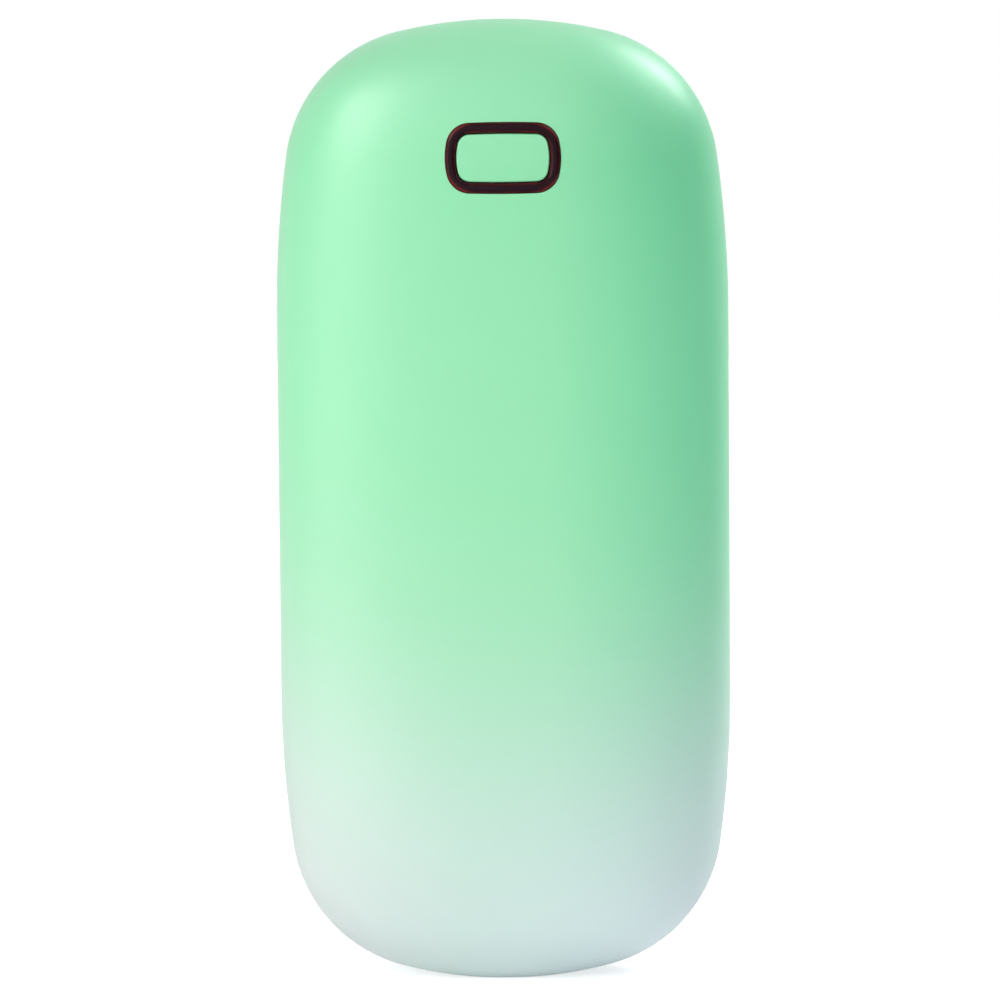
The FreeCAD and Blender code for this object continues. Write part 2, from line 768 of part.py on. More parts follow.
light_ring = node(new_body("light_ring"))
RING_HOLE = "(-ring_band)"
pad(light_ring, "XZ_Plane", RING_REAR, f"-{STOCK}", ring_loop("0"), ring_loop(RING_HOLE))
ring_dome = crown_cut(light_ring, FRONT, "(-ring_proud)", f"-{BEYOND}")
soften(light_ring, ring_dome, crown_edges(ring_dome), "ring_edge")
pad(light_ring, "XZ_Plane", RING_REAR, SEAT, ring_loop("ring_flange_reach"), ring_loop(RING_HOLE))
for sign in SIDES:
    leg_x = middle(f"{sign} * {LED_X}", "leg_width")
    leg_z = middle(BUTTON_Z, "leg_span")
    pad(light_ring, "XZ_Plane", RING_REAR, f"{LED_TOP} - led_gap", rectangle(*leg_x, *leg_z))

power_button = node(new_body("power_button"))
pad(power_button, "XZ_Plane", RING_REAR, f"-{STOCK}", ring_loop("(-ring_band - button_gap)"))
button_dome = crown_cut(power_button, FRONT, "0", f"-{BEYOND}")
soften(power_button, button_dome, crown_edges(button_dome), "button_edge")
pad(power_button, "XZ_Plane", RING_REAR, BUTTON_REAR, ring_loop("(button_flange_reach - ring_band)"))
pad(
    power_button, "XZ_Plane", BUTTON_REAR, f"{PLUNGER_TOP} - nub_gap",
    circle("0", BUTTON_Z, "nub_radius"),
)


# Tact switch on the front of the board

SWITCH_X = middle("0", "switch_size")
SWITCH_Z = middle(BUTTON_Z, "switch_size")

switch_base = node(new_body("switch_base"))
pad(switch_base, "XZ_Plane", BOARD_FRONT, SWITCH_TOP, rectangle(*SWITCH_X, *SWITCH_Z))
pocket(switch_base, "XZ_Plane", SWITCH_TOP, WELL_FLOOR, circle("0", BUTTON_Z, "switch_well_radius"))

switch_cover = node(new_body("switch_cover"))
pad(
    switch_cover, "XZ_Plane", SWITCH_TOP, COVER_TOP,
    rectangle(*SWITCH_X, *SWITCH_Z), circle("0", BUTTON_Z, "plunger_radius + plunger_gap"),
)

# The dome is a turned plate: its rim stands on the floor of the well and its middle is raised. Half way
# out, a parabola through rim and middle keeps three quarters of the rise.
switch_dome = node(new_body("switch_dome"))
DOME_RADIUS = "(switch_well_radius - plunger_gap)"
turned(
    switch_dome, "Revolution", BUTTON_Z, "360",
    polygon(
        ("0", f"{WELL_FLOOR} - dome_rise"),
        ("0", f"{WELL_FLOOR} - dome_rise + dome_thickness"),
        (f"{DOME_RADIUS} / 2", f"{WELL_FLOOR} - dome_rise * 3 / 4 + dome_thickness"),
        (DOME_RADIUS, WELL_FLOOR),
        (DOME_RADIUS, f"{WELL_FLOOR} - dome_thickness"),
        (f"{DOME_RADIUS} / 2", f"{WELL_FLOOR} - dome_rise * 3 / 4"),
    ),
    axis_line(("0", BOARD_FRONT), ("0", COVER_TOP)),
)

switch_plunger = node(new_body("switch_plunger"))
PLUNGER_FLANGE_TOP = f"({SWITCH_TOP} + plunger_lift)"
PLUNGER_FLANGE_FOOT = f"({PLUNGER_FLANGE_TOP} + plunger_flange)"
pad(
    switch_plunger, "XZ_Plane", PLUNGER_FLANGE_FOOT, PLUNGER_FLANGE_TOP,
    circle("0", BUTTON_Z, "switch_well_radius - plunger_gap"),
)
pad(switch_plunger, "XZ_Plane", PLUNGER_FLANGE_TOP, PLUNGER_TOP, circle("0", BUTTON_Z, "plunger_radius"))
pad(
    switch_plunger, "XZ_Plane", PLUNGER_FLANGE_FOOT, f"{WELL_FLOOR} - dome_rise - plunger_lift",
    circle("0", BUTTON_Z, "plunger_foot_radius"),
)

terminals = []
for sign in SIDES:
    ends = sorted((f"{sign} * (switch_size / 2 + terminal_length)", f"{sign} * switch_size / 2"), key=value)
    for level in SIDES:
        terminals.append(box(
            "terminal", ends, (f"({BOARD_FRONT} - terminal_thickness)", BOARD_FRONT),
            middle(f"{BUTTON_Z} + {level} * terminal_spacing / 2", "terminal_width"),
        ))
node(group("switch_terminals", terminals))


# Boards: each follows one end of the case and is held against the front shell's bosses

def end_board(name, low, high, rows):
    """A board cut to the case's outline, kept outside the range from low to high."""
    body = node(new_body(name))
    pad(body, "XZ_Plane", BOARD_BACK, BOARD_FRONT, outline("(wall + board_gap)"))
    pocket(
        body, "XZ_Plane", f"{BOARD_BACK} + {MARGIN}", f"{BOARD_FRONT} - {MARGIN}",
        rectangle("-width", "width", low, high),
    )
    holes = [
        circle(x, level, "screw_radius + screw_play")
        for offset, level in rows for x in screw_places(offset)
    ]
    pocket(body, "XZ_Plane", BOARD_BACK, BOARD_FRONT, *holes)


end_board("main_board", f"-{END} - {MARGIN}", BOARD_BOTTOM, (UPPER_ROW, LOWER_ROW))
end_board("socket_board", SOCKET_TOP, f"{END} + {MARGIN}", (FOOT_ROW,))

leds = []
for sign in SIDES:
    for level in SIDES:
        leds.append(box(
            "led", middle(f"{sign} * {LED_X}", "led_width"), (LED_TOP, BOARD_FRONT),
            middle(f"{BUTTON_Z} + {level} * led_spacing / 2", "led_length"),
        ))
node(group("status_leds", leds))


def on_board_back(name, x, z, width, length, height):
    """A block soldered to the back of the main board."""
    rise = (BOARD_BACK, f"({BOARD_BACK} + {height})")
    return box(name, middle(x, width), rise, middle(z, length))


node(on_board_back("charge_controller", "-chip_offset", BUTTON_Z, "chip_size", "chip_size", "chip_height"))
node(on_board_back(
    "power_inductor", "chip_offset", BUTTON_Z, "inductor_size", "inductor_size", "inductor_height",
))
node(group("heater_mosfets", [
    on_board_back(
        "mosfet", f"{sign} * mosfet_offset", BUTTON_Z, "mosfet_width", "mosfet_length", "mosfet_height",
    )
    for sign in SIDES
]))
node(group("board_capacitors", [
    on_board_back(
        "capacitor", f"{sign} * capacitor_offset", f"{BUTTON_Z} + {level} * capacitor_spacing / 2",
        "capacitor_length", "capacitor_width", "capacitor_height",
    )
    for sign in SIDES for level in SIDES
]))


# Charging socket on the back of the socket board, its mouth let into the case's foot

usb_shell = node(new_body("usb_shell"))


def usb_loop(shrink):
    return rounded(
        f"-usb_width / 2 + {shrink}", f"usb_width / 2 - {shrink}",
        f"-usb_height / 2 + {shrink}", f"usb_height / 2 - {shrink}", f"usb_corner - {shrink}",
    )


pad(usb_shell, "XY_Plane", USB_REAR, USB_MOUTH, usb_loop("0"))
pocket(usb_shell, "XY_Plane", USB_MOUTH, f"{USB_REAR} - usb_metal", usb_loop("usb_metal"))

usb_tongue = node(new_body("usb_tongue"))
TONGUE_TIP = f"({USB_MOUTH} + tongue_recess)"
pad(
    usb_tongue, "XY_Plane", f"{USB_REAR} - usb_metal", TONGUE_TIP,
    rectangle("-tongue_width / 2", "tongue_width / 2", "-tongue_thickness / 2", "tongue_thickness / 2"),
)

CONTACTS_PER_FACE = 12
contacts = []
for face in SIDES:
    touching = (f"{face} * tongue_thickness / 2", f"{face} * (tongue_thickness / 2 + contact_thickness)")
    for place in range(CONTACTS_PER_FACE):
        step = place - (CONTACTS_PER_FACE - 1) / 2
        contacts.append(box(
            "contact", middle(f"{step} * contact_pitch", "contact_width"), sorted(touching, key=value),
            (f"({TONGUE_TIP} + usb_metal)", f"({TONGUE_TIP} + usb_metal + contact_length)"),
        ))
node(group("usb_contacts", contacts))


# Screws, all alike, driven from behind

def screw(x, z, seat):
    """A pan head screw whose head bears on a seat and whose shank points to the front."""
    body = new_body("screw")
    turned(
        body, "Revolution", z, "360",
        polygon(
            (x, f"{seat} + screw_head_height"),
            (f"{x} + screw_head_flat", f"{seat} + screw_head_height"),
            (f"{x} + screw_head_radius", f"{seat} + screw_head_side"),
            (f"{x} + screw_head_radius", seat),
            (f"{x} + screw_radius", seat),
            (f"{x} + screw_radius", f"{seat} - screw_length + screw_radius"),
            (f"{x} + screw_point_radius", f"{seat} - screw_length"),
            (x, f"{seat} - screw_length"),
        ),
        axis_line((x, seat), (x, f"{seat} + screw_head_height")),
    )
    return body


EAR_BACK = f"({BOARD_BACK} + ear_thickness)"
node(group("board_screws", [
    screw(x, level, seat)
    for (offset, level), seat in ((UPPER_ROW, BOARD_BACK), (LOWER_ROW, EAR_BACK), (FOOT_ROW, EAR_BACK))
    for x in screw_places(offset)
]))


# Battery tray: a frame round the cells, with ears for the screws

cell_frame = node(new_body("cell_frame"))
pad(
    cell_frame, "XZ_Plane", FRAME_DEPTH, f"-{FRAME_DEPTH}",
    rounded(f"-{FRAME_HALF}", FRAME_HALF, FRAME_BOTTOM, FRAME_TOP, "frame_corner"),
    rounded(
        f"-{BAY_HALF}", BAY_HALF, f"{FRAME_BOTTOM} + frame_wall", f"{FRAME_TOP} - frame_wall",
        "frame_corner - frame_wall",
    ),
)
ears = (
    (*LOWER_ROW, f"{FRAME_TOP} - frame_wall / 2", f"{LOWER_SCREW_Z} + ear_radius"),
    (*FOOT_ROW, f"{FOOT_SCREW_Z} - ear_radius", f"{FRAME_BOTTOM} + frame_wall / 2"),
)
for offset, level, low, high in ears:
    for x in screw_places(offset):
        pad(
            cell_frame, "XZ_Plane", BOARD_BACK, EAR_BACK,
            rounded(f"{x} - ear_radius", f"{x} + ear_radius", low, high, "ear_corner"),
            circle(x, level, "screw_radius + screw_play"),
        )
pocket(
    cell_frame, "XY_Plane", f"{FRAME_TOP} + {MARGIN}", f"{FRAME_TOP} - frame_wall - cell_gap",
    rectangle("-slot_width / 2", "slot_width / 2", "-slot_depth / 2", "slot_depth / 2"),
)


# Battery: two pouch cells back to back, their tabs and the safety board

def pouch_cell(name, side):
    body = node(new_body(name))
    face = f"{side} * {CELL_FACE}"
    block = pad(
        body, "XZ_Plane", f"{side} * cell_tape_thickness / 2", face,
        rounded(f"-{CELL_HALF}", CELL_HALF, CELL_BOTTOM, CELL_TOP, CELL_CORNER),
    )
    soften(body, block, level_edges(block, face), "cell_edge")
    pad(
        body, "XZ_Plane", f"{side} * {CELL_MIDDLE} - terrace_thickness / 2",
        f"{side} * {CELL_MIDDLE} + terrace_thickness / 2",
        rectangle(
            f"-{CELL_HALF} + {CELL_CORNER} + terrace_inset", f"{CELL_HALF} - {CELL_CORNER} - terrace_inset",
            f"{CELL_TOP} - terrace_height", f"{CELL_TOP} + terrace_height",
        ),
    )


pouch_cell("front_cell", FRONT)
pouch_cell("back_cell", BACK)
node(box(
    "cell_tape", (f"(-{CELL_HALF} + {CELL_CORNER})", f"({CELL_HALF} - {CELL_CORNER})"),
    middle("0", "cell_tape_thickness"), (f"({CELL_BOTTOM} + {CELL_CORNER})", f"({CELL_TOP} - {CELL_CORNER})"),
))

SAFETY_BOTTOM = f"({CELL_TOP} + safety_board_lift)"
node(box(
    "protection_board", middle("0", "safety_board_width"), middle("0", "safety_board_thickness"),
    (SAFETY_BOTTOM, f"({SAFETY_BOTTOM} + safety_board_height)"),
))
node(group("protection_chips", [
    box(
        "safety_chip", middle(f"{sign} * safety_chip_offset", "safety_chip_width"),
        ("(-safety_board_thickness / 2 - safety_chip_height)", "(-safety_board_thickness / 2)"),
        middle(f"{SAFETY_BOTTOM} + safety_board_height / 2", "safety_chip_length"),
    )
    for sign in SIDES
]))


def cell_tab(x, side):
    """A strip that rises from a cell's seal and bends to the face of the safety board."""
    body = new_body("tab")
    low = f"{CELL_TOP} + terrace_height"
    bend = f"{CELL_TOP} + tab_bend"
    far = f"{side} * ({CELL_MIDDLE} + tab_thickness / 2)"
    near = f"{side} * ({CELL_MIDDLE} - tab_thickness / 2)"
    welded = f"{side} * safety_board_thickness / 2"
    pad(
        body, "YZ_Plane", f"{x} - tab_width / 2", f"{x} + tab_width / 2",
        polygon(
            (far, low), (far, f"{bend} + tab_thickness"), (welded, f"{bend} + tab_thickness"),
            (welded, bend), (near, bend), (near, low),
        ),
    )
    return body


node(group("positive_tabs", [cell_tab("tab_offset", side) for side in SIDES]))
node(group("negative_tabs", [cell_tab("-tab_offset", side) for side in SIDES]))


# Heaters: on each side a plate bonded inside the shell, a printed film and a sponge behind it

def crowned_sheet(name, side, outside, inside, edge):
    """A thin sheet that follows the crown between two insets."""
    body = node(new_body(name))
    half = f"{PLATE_HALF} - {edge}"
    pad(
        body, "XZ_Plane", "0", f"{side} * {STOCK}",
        rounded(
            f"-({half})", half, f"{PLATE_BOTTOM} + {edge}", f"{PLATE_TOP} - {edge}",
            f"heat_plate_corner - {edge}",
        ),
    )
    crown_cut(body, side, outside, f"{side} * {BEYOND}")
    crown_cut(body, side, inside, f"{-side} * {MARGIN}")


def foam_pad(name, side):
    """A sponge with a crowned outer face and a flat face on the cell."""
    body = node(new_body(name))
    half = f"{PLATE_HALF} - foam_edge"
    pad(
        body, "XZ_Plane", f"{side} * {CELL_FACE}", f"{side} * {STOCK}",
        rounded(
            f"-({half})", half, f"{PLATE_BOTTOM} + foam_edge", FOAM_TOP, "heat_plate_corner - foam_edge",
        ),
    )
    crown_cut(body, side, FOAM_OUTSIDE, f"{side} * {BEYOND}")


SENSOR_Z = middle(f"({FOAM_TOP} + {PLATE_TOP}) / 2", "sensor_length")


def thermistor(name, side):
    near = f"{side} * ({dome_depth('sensor_width / 2', SENSOR_Z[1], FILM_INSIDE)} - bond_gap)"
    far = f"({near} - {side} * sensor_height)"
    node(box(name, middle("0", "sensor_width"), sorted((near, far), key=value), SENSOR_Z))


for name, side in (("front", FRONT), ("back", BACK)):
    crowned_sheet(f"{name}_heat_plate", side, PLATE_OUTSIDE, PLATE_INSIDE, "0")
    crowned_sheet(f"{name}_heater_film", side, FILM_OUTSIDE, FILM_INSIDE, "film_edge")
    foam_pad(f"{name}_foam_pad", side)
    thermistor(f"{name}_thermistor", side)


# Wires: each runs along Z, bends once and ends on a board

def wire(name, plane, place, across, z_start, z_bend, across_end, radius, bend):
    """A round wire in a plane of constant X or Y."""
    body = new_body(name)
    u, z_low, z_high, u_end, r = map(value, (across, z_start, z_bend, across_end, bend))
    out = math.copysign(1, u_end - u)
    up = math.copysign(1, z_high - z_low)
    corner = math.atan2(up, -out)
    path = new_sketch(body, plane, place, [])
    path.addGeometry([
        Part.LineSegment(Vector(u, z_low, 0), Vector(u, z_high - up * r, 0)),
        arc(u + out * r, z_high - up * r, r, corner - math.pi / 4, corner + math.pi / 4),
        Part.LineSegment(Vector(u + out * r, z_high, 0), Vector(u_end, z_high, 0)),
    ], False)
    first_end, last_end = (2, 1) if out * up > 0 else (1, 2)
    path.addConstraint(Sketcher.Constraint("Tangent", 0, 2, 1, first_end))
    path.addConstraint(Sketcher.Constraint("Tangent", 1, last_end, 2, 1))
    path.addConstraint(Sketcher.Constraint("Vertical", 0))
    path.addConstraint(Sketcher.Constraint("Horizontal", 2))
    fix(path, "Radius", 1, bend)
    fix(path, "DistanceX", -1, 1, 0, 1, across)
    fix(path, "DistanceY", -1, 1, 0, 1, z_start)
    fix(path, "DistanceY", -1, 1, 2, 2, z_bend)
    fix(path, "DistanceX", -1, 1, 2, 2, across_end)
    x, y = (place, across) if plane == "YZ_Plane" else (across, place)
    section = new_sketch(body, "XY_Plane", z_start, [circle(x, y, radius)])
    doc.recompute()
    pipe = body.newObject("PartDesign::AdditivePipe", f"{name}_pipe")
    pipe.Profile = section
    pipe.Spine = (path, [f"Edge{number}" for number in range(1, path.Shape.countElement("Edge") + 1)])
    body.Tip = pipe
    return body


WIRE_TOP = f"({BOARD_BOTTOM} + wire_rise)"
BATTERY_Y = "(safety_board_thickness / 2 + battery_wire_radius + wire_clear)"
for name, sign in (("positive_lead", 1), ("negative_lead", -1)):
    node(wire(
        name, "YZ_Plane", f"{sign} * battery_wire_offset", BATTERY_Y, f"{CELL_TOP} + tab_bend",
        f"{BOARD_BOTTOM} + battery_wire_rise", BOARD_BACK, "battery_wire_radius", "wire_bend",
    ))

# The charging wires come down the channels beside the tray and turn in over the socket board.
CHARGE_X = f"({FRAME_HALF} + charge_wire_gap + charge_wire_radius)"
CHARGE_END = f"({CHARGE_X} - charge_wire_bend - charge_wire_run)"
node(group("charge_leads", [
    wire(
        "charge_lead", "XZ_Plane", f"{BOARD_BACK} + charge_wire_radius + wire_clear", f"{sign} * {CHARGE_X}",
        WIRE_TOP, f"{SOCKET_TOP} - charge_wire_radius", f"{sign} * {CHARGE_END}",
        "charge_wire_radius", "charge_wire_bend",
    )
    for sign in SIDES
]))

for name, side, landing in (("front", FRONT, BOARD_FRONT), ("back", BACK, BOARD_BACK)):
    film_y = dome_depth("heater_wire_offset + heater_wire_radius", PLATE_TOP, FILM_INSIDE)
    heater_y = f"{side} * ({film_y} - heater_wire_radius - wire_clear)"
    node(group(f"{name}_heater_leads", [
        wire(
            f"{name}_heater_lead", "YZ_Plane", f"{sign} * heater_wire_offset", heater_y,
            f"{FOAM_TOP} + wire_bend", WIRE_TOP, landing, "heater_wire_radius", "wire_bend",
        )
        for sign in SIDES
    ]))
    bead_y = dome_depth("sensor_width / 2", SENSOR_Z[1], FILM_INSIDE)
    sensor_y = f"{side} * ({bead_y} - bond_gap - sensor_height / 2)"
    node(group(f"{name}_thermistor_leads", [
        wire(
            f"{name}_thermistor_lead", "YZ_Plane", f"{sign} * sensor_wire_offset", sensor_y,
            SENSOR_Z[1], WIRE_TOP, landing, "sensor_wire_radius", "wire_bend",
        )
        for sign in SIDES
    ]))


# Check the document and write one file for each sub-part

doc.recompute()
for item in doc.Objects:
    if "Invalid" in item.State or "Error" in item.State:
        raise RuntimeError(f"{item.Label} failed: {item.State}")
for piece in nodes:
    if piece.Shape.isNull() or not piece.Shape.isValid():
        raise RuntimeError(f"{piece.Label} has no valid shape")

os.makedirs("parts", exist_ok=True)
for piece in nodes:
    piece.Shape.exportStep(f"parts/{piece.Label}.step")
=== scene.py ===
import math

import bmesh
import bpy
from mathutils import Matrix, Vector


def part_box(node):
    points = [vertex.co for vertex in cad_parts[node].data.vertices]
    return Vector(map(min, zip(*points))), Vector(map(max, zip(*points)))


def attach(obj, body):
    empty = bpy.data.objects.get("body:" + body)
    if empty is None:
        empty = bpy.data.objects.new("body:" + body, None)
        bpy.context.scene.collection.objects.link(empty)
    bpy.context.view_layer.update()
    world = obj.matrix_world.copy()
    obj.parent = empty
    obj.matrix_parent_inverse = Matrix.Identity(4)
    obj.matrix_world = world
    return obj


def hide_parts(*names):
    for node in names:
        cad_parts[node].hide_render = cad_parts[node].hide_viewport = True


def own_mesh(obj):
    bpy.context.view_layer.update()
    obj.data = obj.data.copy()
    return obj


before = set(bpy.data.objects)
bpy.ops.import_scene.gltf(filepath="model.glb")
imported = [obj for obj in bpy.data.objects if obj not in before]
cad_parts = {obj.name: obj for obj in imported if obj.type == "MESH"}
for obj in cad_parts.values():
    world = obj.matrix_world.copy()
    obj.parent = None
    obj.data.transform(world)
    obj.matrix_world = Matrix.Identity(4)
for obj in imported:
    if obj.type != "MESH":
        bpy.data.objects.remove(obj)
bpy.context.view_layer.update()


# Pouch cells: two lithium polymer cells in pressed aluminium laminate, heat sealed along the top.
# They lie back to back in the tray, and the press leaves a faint crinkle in the foil.
MM = 0.001
FOIL_CRINKLE = 1.4 * MM
FOIL_DEPTH = 0.05 * MM
FOIL_DULL = (0.58, 0.59, 0.61)
FOIL_BRIGHT = (0.72, 0.73, 0.75)


def new_finish(name, roughness, metallic=0.0):
    """A finish with its node tree and its surface shader."""
    finish = bpy.data.materials.new(name)
    finish.use_nodes = True
    shader = finish.node_tree.nodes["Principled BSDF"]
    shader.inputs["Roughness"].default_value = roughness
    shader.inputs["Metallic"].default_value = metallic
    return finish, finish.node_tree, shader


def place_in_part(tree):
    return tree.nodes.new("ShaderNodeTexCoord").outputs["Object"]


def grain(tree, size, detail=2.0, stretch=(1, 1, 1)):
    """Noise whose spots are about one size across, drawn out along the axes by a stretch."""
    spread = tree.nodes.new("ShaderNodeMapping")
    spread.inputs["Scale"].default_value = [1 / along for along in stretch]
    tree.links.new(place_in_part(tree), spread.inputs["Vector"])
    noise = tree.nodes.new("ShaderNodeTexNoise")
    noise.inputs["Scale"].default_value = 1 / size
    noise.inputs["Detail"].default_value = detail
    tree.links.new(spread.outputs["Vector"], noise.inputs["Vector"])
    return noise.outputs["Fac"]


def shades(tree, amount, *stops):
    """Colours picked by an amount from 0 to 1. Each stop is a place and a colour."""
    ramp = tree.nodes.new("ShaderNodeValToRGB")
    colours = ramp.color_ramp.elements
    while len(colours) < len(stops):
        colours.new(0.5)
    for colour, (stop, tint) in zip(colours, stops):
        colour.position = stop
        colour.color = (*tint, 1)
    tree.links.new(amount, ramp.inputs["Fac"])
    return ramp.outputs["Color"]


def emboss(tree, shader, height, depth):
    """Raise the surface by a height pattern, to a depth in metres."""
    bump = tree.nodes.new("ShaderNodeBump")
    bump.inputs["Distance"].default_value = depth
    tree.links.new(height, bump.inputs["Height"])
    tree.links.new(bump.outputs["Normal"], shader.inputs["Normal"])
    return bump


def two_tone(tree, shader, pattern, low, high, depth, start=0.3, end=0.7):
    """Colour a surface by a pattern, from the low tint to the high one, and raise it by the same pattern."""
    tree.links.new(shades(tree, pattern, (start, low), (end, high)), shader.inputs["Base Color"])
    emboss(tree, shader, pattern, depth)


def dress(finish, *nodes):
    for node in nodes:
        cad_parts[node].material_slots[0].material = finish


foil, tree, shader = new_finish("pouch_foil", 0.34, metallic=0.9)
crinkle = grain(tree, FOIL_CRINKLE, detail=4)
two_tone(tree, shader, crinkle, FOIL_DULL, FOIL_BRIGHT, FOIL_DEPTH)
dress(foil, "front_cell", "back_cell")


# Bonding sheet: adhesive tissue between the two cells, which makes one block of them. Its long pale
# fibres show through the glue.
TISSUE_FIBRE = 0.35 * MM
TISSUE_DEPTH = 0.03 * MM
TISSUE_GLUE = (0.78, 0.75, 0.66)
TISSUE_PALE = (0.9, 0.88, 0.8)
tissue, tree, shader = new_finish("bonding_tissue", 0.85)
fibres = grain(tree, TISSUE_FIBRE, detail=5, stretch=(3, 1, 1))
two_tone(tree, shader, fibres, TISSUE_GLUE, TISSUE_PALE, TISSUE_DEPTH)
dress(tissue, "cell_tape")


# Cell tabs: thin nickel strip, spot welded to the safety board that stands on the cells' sealed edge.
# Faint rolling lines are left in it from the mill.
NICKEL_LINE = 0.15 * MM
NICKEL_DEPTH = 0.01 * MM
NICKEL_DULL = (0.56, 0.54, 0.5)
NICKEL_BRIGHT = (0.68, 0.66, 0.61)
nickel, tree, shader = new_finish("nickel_strip", 0.3, metallic=1.0)
rolling = grain(tree, NICKEL_LINE, detail=3, stretch=(1, 12, 12))
two_tone(tree, shader, rolling, NICKEL_DULL, NICKEL_BRIGHT, NICKEL_DEPTH)
dress(nickel, "positive_tabs", "negative_tabs")


# Circuit boards: glass laminate under green solder mask. Copper runs show as paler bands, turned
# a quarter from one patch to the next as routed tracks are.
TRACK_PITCH = 0.9 * MM
TRACK_PATCH = 3.6 * MM
TRACK_RAISE = 0.02 * MM
MASK_BARE = (0.008, 0.085, 0.035)
MASK_ON_COPPER = (0.02, 0.16, 0.07)
BAND_AT_SCALE_ONE = 0.314
MIX_SOCKETS = {"FLOAT": (2, 3, 0), "VECTOR": (4, 5, 1), "RGBA": (6, 7, 2)}


def bands(tree, direction, pitch):
    """Stripes of one pitch across, as a wave from 0 to 1."""
    wave = tree.nodes.new("ShaderNodeTexWave")
    wave.bands_direction = direction
    wave.inputs["Scale"].default_value = BAND_AT_SCALE_ONE / pitch
    tree.links.new(place_in_part(tree), wave.inputs["Vector"])
    return wave.outputs["Fac"]


def blend(tree, sort, amount, first, second):
    """Go from the first to the second as an amount goes from 0 to 1. The sort names what is mixed."""
    from_socket, to_socket, result = MIX_SOCKETS[sort]
    mix = tree.nodes.new("ShaderNodeMix")
    mix.data_type = sort
    tree.links.new(amount, mix.inputs["Factor"])
    tree.links.new(first, mix.inputs[from_socket])
    tree.links.new(second, mix.inputs[to_socket])
    return mix.outputs[result]


laminate, tree, shader = new_finish("board_laminate", 0.38)
patches = tree.nodes.new("ShaderNodeTexChecker")
patches.inputs["Scale"].default_value = 1 / TRACK_PATCH
tree.links.new(place_in_part(tree), patches.inputs["Vector"])
across = bands(tree, "X", TRACK_PITCH)
along = bands(tree, "Z", TRACK_PITCH)
copper = blend(tree, "FLOAT", patches.outputs["Fac"], across, along)
two_tone(tree, shader, copper, MASK_BARE, MASK_ON_COPPER, TRACK_RAISE, start=0.55, end=0.65)
dress(laminate, "main_board", "socket_board", "protection_board")


# Chip packages: black epoxy, moulded round the silicon and matt from the mould. They are soldered
# to the main board and the safety board by their legs.
EPOXY_FILLER = 0.08 * MM
EPOXY_DEPTH = 0.008 * MM
EPOXY_BLACK = (0.012, 0.012, 0.013)
EPOXY_GREY = (0.03, 0.03, 0.032)
epoxy, tree, shader = new_finish("chip_epoxy", 0.62)
filler = grain(tree, EPOXY_FILLER, detail=3)
two_tone(tree, shader, filler, EPOXY_BLACK, EPOXY_GREY, EPOXY_DEPTH)
dress(epoxy, "charge_controller", "heater_mosfets", "protection_chips")


# Power inductor: a block of ferrite powder pressed round its winding, with an open, sooty grain.
# It is soldered to the back of the main board.
FERRITE_GRAIN = 0.2 * MM
FERRITE_DEPTH = 0.03 * MM
FERRITE_DARK = (0.045, 0.045, 0.05)
FERRITE_GREY = (0.11, 0.11, 0.115)
ferrite, tree, shader = new_finish("pressed_ferrite", 0.7)
pressing = grain(tree, FERRITE_GRAIN, detail=6)
two_tone(tree, shader, pressing, FERRITE_DARK, FERRITE_GREY, FERRITE_DEPTH)
dress(ferrite, "power_inductor")


# Capacitors: small blocks of fired ceramic, two at each side of the main board. Their ends are tinned,
# and the solder holds them there.
CAPACITOR_X = 13.5 * MM
CAPACITOR_BARE = 1.15 * MM
CERAMIC_GRAIN = 0.1 * MM
CERAMIC_DEPTH = 0.006 * MM
CERAMIC_TAN = (0.42, 0.29, 0.17)
CERAMIC_TIN = (0.72, 0.71, 0.69)


def sums(tree, kind, first, second=None):
    """One step of arithmetic on an amount, with another amount or a plain number."""
    step = tree.nodes.new("ShaderNodeMath")
    step.operation = kind
    tree.links.new(first, step.inputs[0])
    if isinstance(second, (int, float)):
        step.inputs[1].default_value = second
    elif second is not None:
        tree.links.new(second, step.inputs[1])
    return step.outputs["Value"]


def axes(tree):
    """The place in the part as separate x, y and z."""
    parts = tree.nodes.new("ShaderNodeSeparateXYZ")
    tree.links.new(place_in_part(tree), parts.inputs["Vector"])
    return parts.outputs["X"], parts.outputs["Y"], parts.outputs["Z"]


ceramic, tree, shader = new_finish("capacitor_ceramic", 0.45)
from_board_middle = sums(tree, "ABSOLUTE", axes(tree)[0])
from_block_middle = sums(tree, "ABSOLUTE", sums(tree, "SUBTRACT", from_board_middle, CAPACITOR_X))
tinned = sums(tree, "GREATER_THAN", from_block_middle, CAPACITOR_BARE)
body_and_ends = shades(tree, tinned, (0.0, CERAMIC_TAN), (1.0, CERAMIC_TIN))
tree.links.new(body_and_ends, shader.inputs["Base Color"])
tree.links.new(tinned, shader.inputs["Metallic"])
emboss(tree, shader, grain(tree, CERAMIC_GRAIN), CERAMIC_DEPTH)
dress(ceramic, "board_capacitors")


# Status lights: four white packages with a cloudy resin window, soldered to the front of the main
# board under the legs of the light ring.
RESIN_CLOUD = 0.5 * MM
RESIN_DEPTH = 0.01 * MM
RESIN_AMBER = (0.86, 0.8, 0.52)
RESIN_WHITE = (0.93, 0.91, 0.82)
resin, tree, shader = new_finish("led_resin", 0.22)
cloud = grain(tree, RESIN_CLOUD, detail=3)
two_tone(tree, shader, cloud, RESIN_AMBER, RESIN_WHITE, RESIN_DEPTH, start=0.35, end=0.65)
dress(resin, "status_leds")


